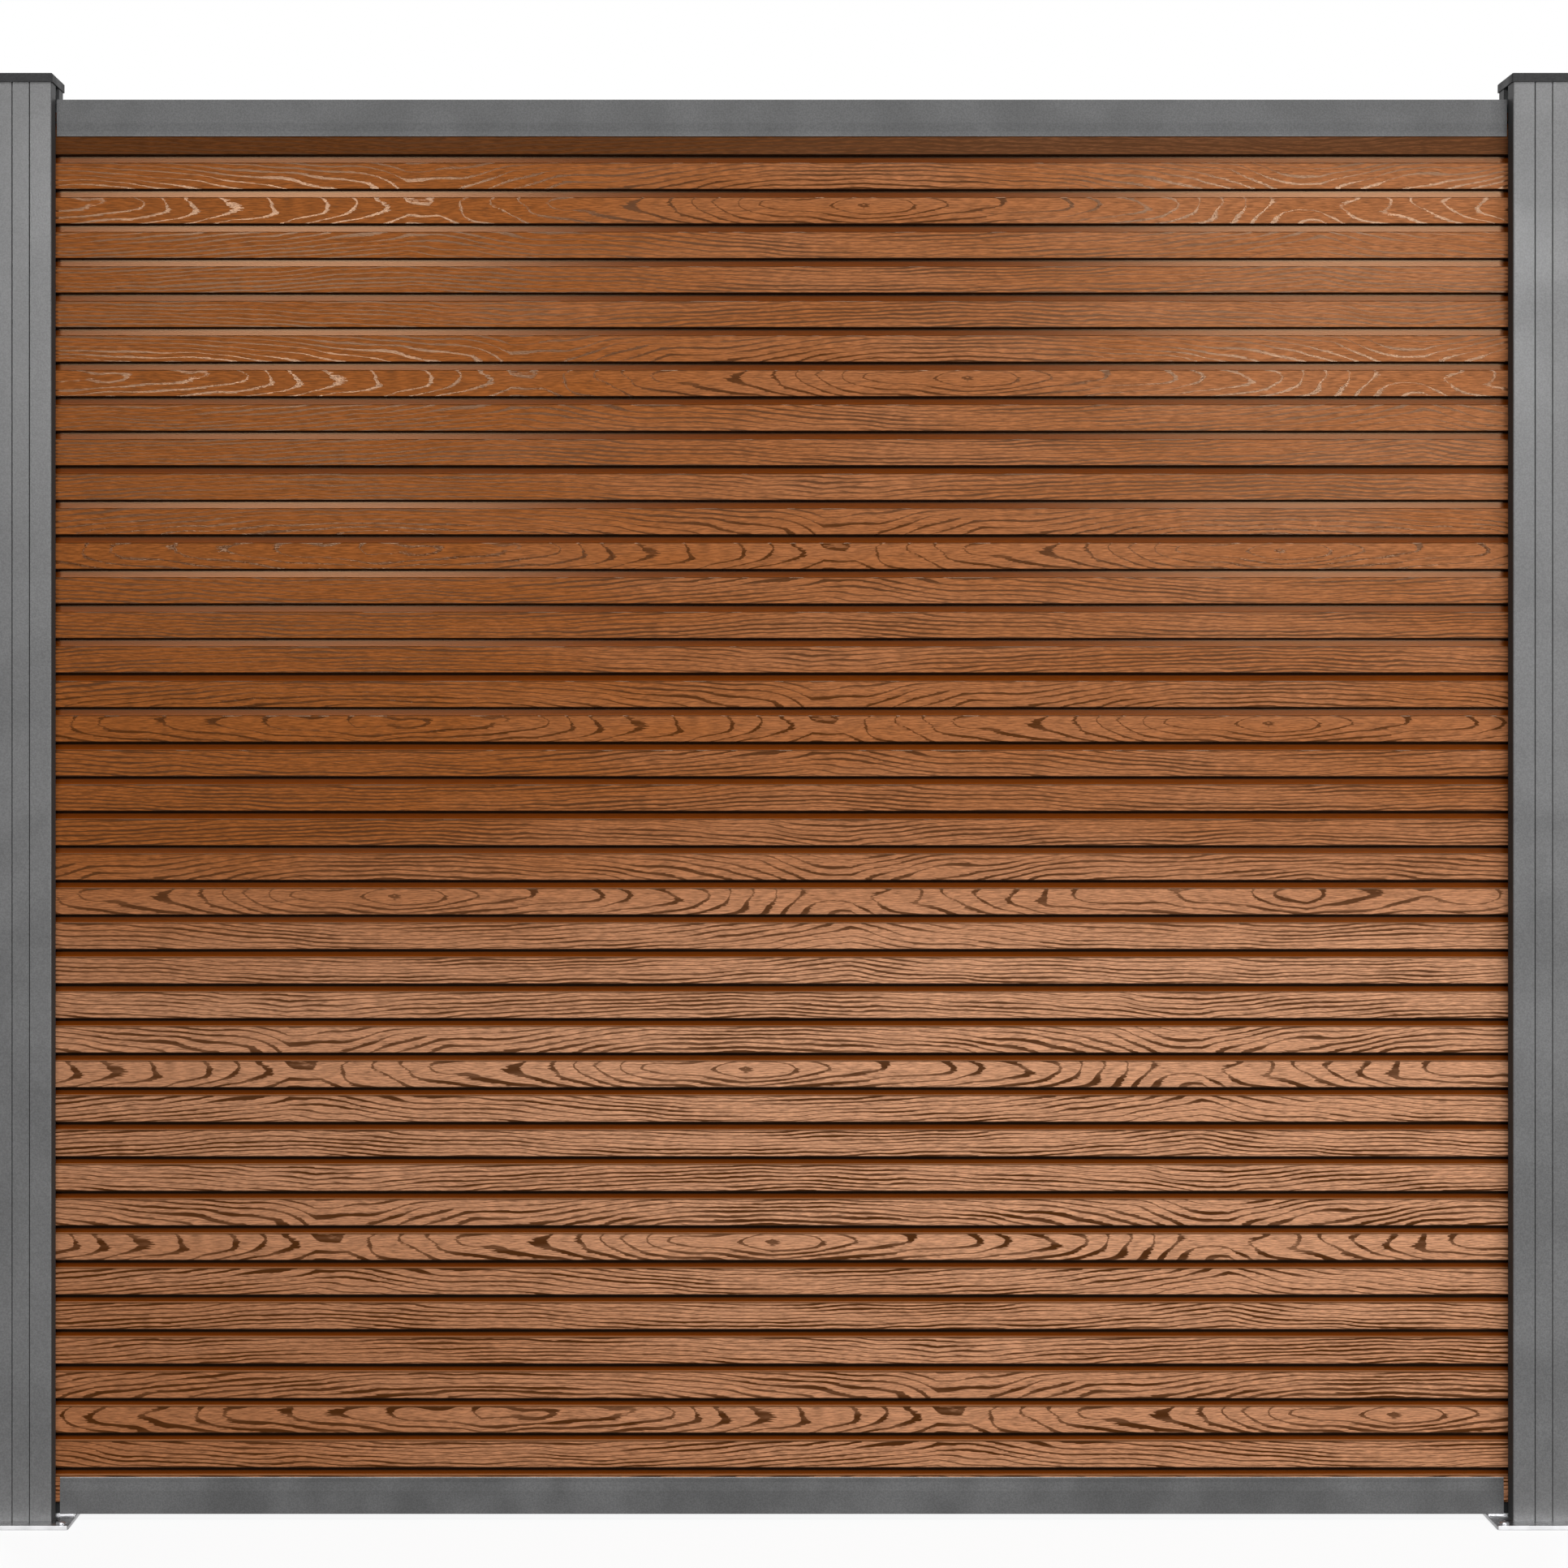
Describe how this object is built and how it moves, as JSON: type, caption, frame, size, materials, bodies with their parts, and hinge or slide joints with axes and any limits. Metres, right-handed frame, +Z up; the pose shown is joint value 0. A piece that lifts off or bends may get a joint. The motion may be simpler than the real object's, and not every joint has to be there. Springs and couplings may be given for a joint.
{
  "type": "fence panel",
  "caption": "Slatted wood-effect composite boards held between slotted aluminium posts, with top and bottom rails, post caps and bolt-down base plates.",
  "frame": {"origin": "midway between the posts, on the ground plane under the base plates", "axes": "+X along the fence, -Y towards the slatted face, +Z up"},
  "size_m": [1.982, 0.125, 1.7705],
  "materials": {
    "composite_board": "embossed wood grain, satin",
    "powder_coated_aluminium": "fine textured powder coat",
    "cap_plastic": "fine textured, matt",
    "bare_plate": "plain mill finish",
    "bright_aluminium": "plain mill finish",
    "black_plastic": "matt",
    "screw_steel": "zinc plated"
  },
  "bodies": {
    "root": {"slat_board_1": "composite_board", "slat_board_2": "composite_board", "slat_board_3": "composite_board", "slat_board_4": "composite_board", "slat_board_5": "composite_board", "slat_board_6": "composite_board", "slat_board_7": "composite_board", "slat_board_8": "composite_board", "bottom_rail": "powder_coated_aluminium", "top_rail": "powder_coated_aluminium", "post_left": "powder_coated_aluminium", "front_cover_left": "powder_coated_aluminium", "rear_cover_left": "powder_coated_aluminium", "outer_cover_left": "powder_coated_aluminium", "post_cap_left": "cap_plastic", "base_plate_left": "bare_plate", "rail_bracket_left": "bright_aluminium", "board_packer_left": "black_plastic", "post_right": "powder_coated_aluminium", "front_cover_right": "powder_coated_aluminium", "rear_cover_right": "powder_coated_aluminium", "outer_cover_right": "powder_coated_aluminium", "post_cap_right": "cap_plastic", "base_plate_right": "bare_plate", "rail_bracket_right": "bright_aluminium", "board_packer_right": "black_plastic", "base_screws": "screw_steel"}
  },
  "joints": []
}
